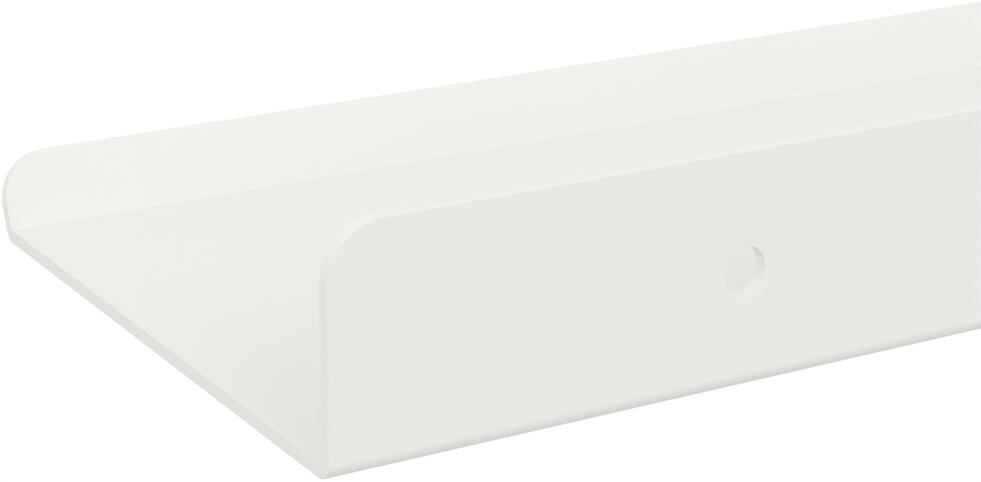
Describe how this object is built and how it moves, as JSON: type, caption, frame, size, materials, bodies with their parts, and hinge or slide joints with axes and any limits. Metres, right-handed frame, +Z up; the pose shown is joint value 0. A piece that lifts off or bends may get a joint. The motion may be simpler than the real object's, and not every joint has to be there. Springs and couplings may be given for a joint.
{
  "type": "floating wall shelf",
  "caption": "Shallow wall shelf folded from one white sheet: flat floor, tall rear flange with a row of screw holes, low front lip leaning outwards, rounded end corners, wall screws with plugs.",
  "frame": {"origin": "on the rear face of the wall flange, midway along the shelf, on the line of the screw holes", "axes": "+X along the shelf, to the right as seen from the room; +Y out of the wall flange into the wall, so the room and the front lip are on the -Y side; +Z up"},
  "size_m": [0.6, 0.1515, 0.0325],
  "materials": {
    "white_powder_coat": "satin white powder coat on steel sheet",
    "zinc_plated_steel": "bright zinc plate",
    "grey_nylon": "moulded matt nylon"
  },
  "bodies": {
    "root": {"shelf_body": "white_powder_coat", "left_wall_screw": "zinc_plated_steel", "right_wall_screw": "zinc_plated_steel", "left_washer": "zinc_plated_steel", "right_washer": "zinc_plated_steel", "left_wall_plug": "grey_nylon", "right_wall_plug": "grey_nylon"}
  },
  "joints": []
}
